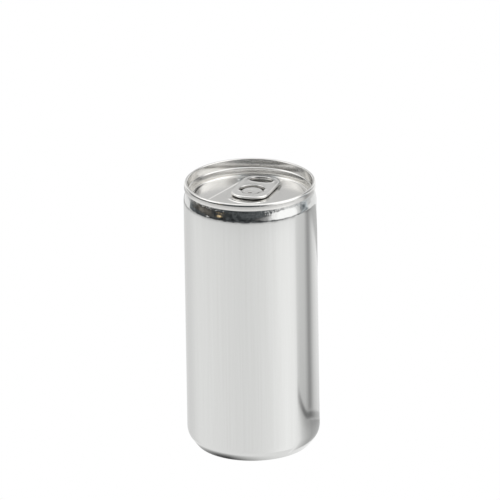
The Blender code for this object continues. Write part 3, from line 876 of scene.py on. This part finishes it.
# painted shadow: a dark line on the table along the card's foot
graded_sheet("card_foot_shadow", along_card, [
    (84.5, 0.7), (90.0, 0.4), (98.0, 0.22), (120.0, 0.2), (140.0, 0.5), (180.0, 0.7)],
    [(31.0, 0.0), (35.0, 1.0), (39.5, 1.0), (43.0, 0.0)], table_light, base=0.68)
graded_sheet("card_shade", along_card, [
    (84.5, 1.0), (95.0, 0.72), (108.0, 0.55), (122.0, 0.44), (150.0, 0.5), (180.0, 0.6)],
    [(-2.0, 1.2), (5.0, 1.15), (20.0, 1.1), (32.0, 0.85)], table_light)

# the dark line where the stand ring meets the table, lost to the right in the card's light
graded_sheet("contact_shade", on_ring, [
    (-80.0, 0.6), (-60.0, 0.4), (-49.0, 0.26), (-40.0, 0.12), (-26.0, 0.08), (-13.0, 0.26), (0.0, 0.48),
    (6.0, 0.62), (20.0, 0.85), (40.0, 0.97)],
    [(14.0, 1.0), (23.6, 1.0), (26.2, 0.0)], table_light, base=1.0)

# what the neck and the rim mirror: the dark side of the room, windows, two small lamps and a shelf
dark = glow("dark_room", "#676A6C", "#242729", patch=55.0)
graded_sheet("dark_side_of_room", on_sloping_room, [
    (-123.0, 2.6), (-112.0, 1.5), (-100.0, 0.8), (-40.0, 0.6), (10.0, 0.9), (40.0, 0.9), (84.0, 1.1),
    (90.0, 1.8), (98.0, 4.0), (113.0, 6.0)],
    [(-18.0, 1.4), (-14.0, 1.2), (0.0, 1.3), (8.0, 1.6), (14.0, 1.8), (18.0, 2.2)], dark,
    radius=DARK_SIDE_RADIUS)
graded_sheet("dark_wall_ahead", on_sloping_room, [
    (-60.0, 1.0), (-42.0, 0.4), (-30.0, 0.22), (4.0, 0.22), (14.0, 0.45), (24.0, 1.2)],
    [(18.0, 1.2), (20.0, 1.6), (27.0, 8.0), (50.0, 11.0)], dark, radius=DARK_SIDE_RADIUS)
white = glow("window_light", WHITE)
graded_sheet("low_window", on_window, [
    (8.0, 0.08), (14.0, 0.17), (27.0, 0.45), (33.0, 0.9), (38.0, 1.2), (46.0, 1.4), (80.0, 1.4),
    (86.0, 1.0), (93.0, 0.5)],
    [(-13.0, 0.4), (-10.0, 1.0), (10.0, 1.0), (13.0, 0.35), (16.0, 0.3)], white, radius=WINDOW_RADIUS)
high_window_rows = [(18.0, 0.42), (33.0, 0.42), (40.0, 0.9), (54.0, 0.9), (60.0, 0.5)]
graded_sheet("right_window", on_sloping_room, [
    (24.0, 1.0), (52.0, 2.4), (96.0, 2.4), (114.0, 1.4), (132.0, 0.8)],
    high_window_rows, white, radius=WINDOW_RADIUS)
graded_sheet("left_window", on_sloping_room, [
    (-136.0, 0.8), (-112.0, 1.5), (-96.0, 2.4), (-72.0, 2.4), (-60.0, 1.2)],
    high_window_rows, white, radius=WINDOW_RADIUS)
graded_sheet("warm_lamp", on_room, [(-56.5, 0.2), (-54.5, 1.2), (-50.0, 1.2), (-47.0, 0.2)],
             [(-1.0, 0.2), (1.0, 1.0), (3.0, 1.0), (5.0, 0.2)],
             glow("lamp_light", "#FFE3B4"), radius=WINDOW_RADIUS)
graded_sheet("small_glint", on_room, [(-79.0, 0.2), (-77.0, 1.2), (-75.0, 1.2), (-73.0, 0.2)],
             [(-12.0, 0.2), (-10.0, 1.0), (-8.0, 1.0), (-6.0, 0.4)], white, radius=WINDOW_RADIUS)
graded_sheet("shelf_behind", on_room, [(-116.0, 0.6), (-95.0, 1.0), (-66.0, 0.6)],
             [(-5.0, 0.4), (-2.0, 1.3), (3.0, 1.2), (7.0, 0.6), (11.0, 0.9)],
             glow("brown_shelf", "#928D86", "#2A2928", patch=22.0), radius=WINDOW_RADIUS)

# what the inside of the end mirrors, over several bounces: a dark door and a blind to the right,
# and the grey wall behind with another blind
graded_sheet("dark_door", on_room, [(108.0, 0.5), (113.0, 0.03), (142.0, 0.03), (148.0, 0.5)],
             [(24.5, 0.0), (26.0, 1.0), (38.0, 1.0), (41.0, 0.0)], white, base=0.5,
             radius=DOOR_RADIUS)
graded_sheet("side_blind", on_room, [(44.0, 0.9), (50.0, 1.7), (112.0, 1.7), (118.0, 0.8)],
             [(18.0, 0.6), (19.5, 1.0), (22.5, 1.0), (23.5, 0.7)], white, radius=DOOR_RADIUS)
graded_sheet("back_wall", on_room, [
    (100.0, 0.9), (125.0, 0.66), (144.0, 0.75), (150.0, 1.15), (160.0, 1.15), (168.0, 0.64),
    (192.0, 0.64), (200.0, 1.15), (210.0, 1.15), (216.0, 0.75), (235.0, 0.66), (260.0, 0.9)],
    [(-8.0, 1.0), (50.0, 1.0), (60.0, 1.1), (76.0, 1.25)], white, radius=BACK_WALL_RADIUS)
graded_sheet("white_blind", on_room, [(150.0, 0.7), (154.0, 1.05), (168.0, 1.05), (172.0, 0.7)],
             [(23.0, 0.7), (26.0, 1.0), (60.0, 1.0)], white, radius=BACK_BLIND_RADIUS)

softbox = bpy.data.lights.new("softbox", "AREA")
softbox.shape = "RECTANGLE"
softbox.size, softbox.size_y = SOFTBOX_SIZE
softbox.energy = SOFTBOX_WATTS
softbox_lamp = bpy.data.objects.new("softbox", softbox)
softbox_lamp.location = toward(*SOFTBOX_DIRECTION) * SOFTBOX_DISTANCE
softbox_lamp.rotation_euler = (-softbox_lamp.location).to_track_quat("-Z", "Y").to_euler()
softbox_lamp.visible_camera = False
bpy.context.scene.collection.objects.link(softbox_lamp)

world = bpy.data.worlds.new("pale_room")
world.use_nodes = True
tree = world.node_tree
tree.nodes.clear()
ray = tree.nodes.new("ShaderNodeLightPath")
shade = add_node(tree, "ShaderNodeMapRange", inputs={
    "Value": ray.outputs["Is Camera Ray"], "To Min": ROOM_GLOW, "To Max": 1.0})
sky = add_node(tree, "ShaderNodeBackground", inputs={
    "Color": linear(WHITE), "Strength": shade.outputs[0]})
add_node(tree, "ShaderNodeOutputWorld", inputs={"Surface": sky.outputs[0]})
bpy.context.scene.world = world
bpy.context.scene.view_settings.view_transform = "Standard"

lens = bpy.data.cameras.new("camera")
lens.lens = LENS
lens.sensor_width = SENSOR
lens.clip_start = 0.1
lens.clip_end = 30.0
camera = bpy.data.objects.new("camera", lens)
bpy.context.scene.collection.objects.link(camera)
sight = toward(0.0, CAMERA_ELEVATION)
sideways = Vector((math.cos(CAMERA_AZIMUTH), math.sin(CAMERA_AZIMUTH), 0.0))
aim = (sideways * AIM[0] + Vector((0.0, 0.0, AIM[1]))) * MM
camera.location = aim + sight * (LENS / SENSOR * VIEW_WIDTH * MM)
level = (-sight).to_track_quat("-Z", "Y")
camera.rotation_euler = (level @ Quaternion((0.0, 0.0, 1.0), -CAMERA_ROLL)).to_euler()
bpy.context.scene.camera = camera
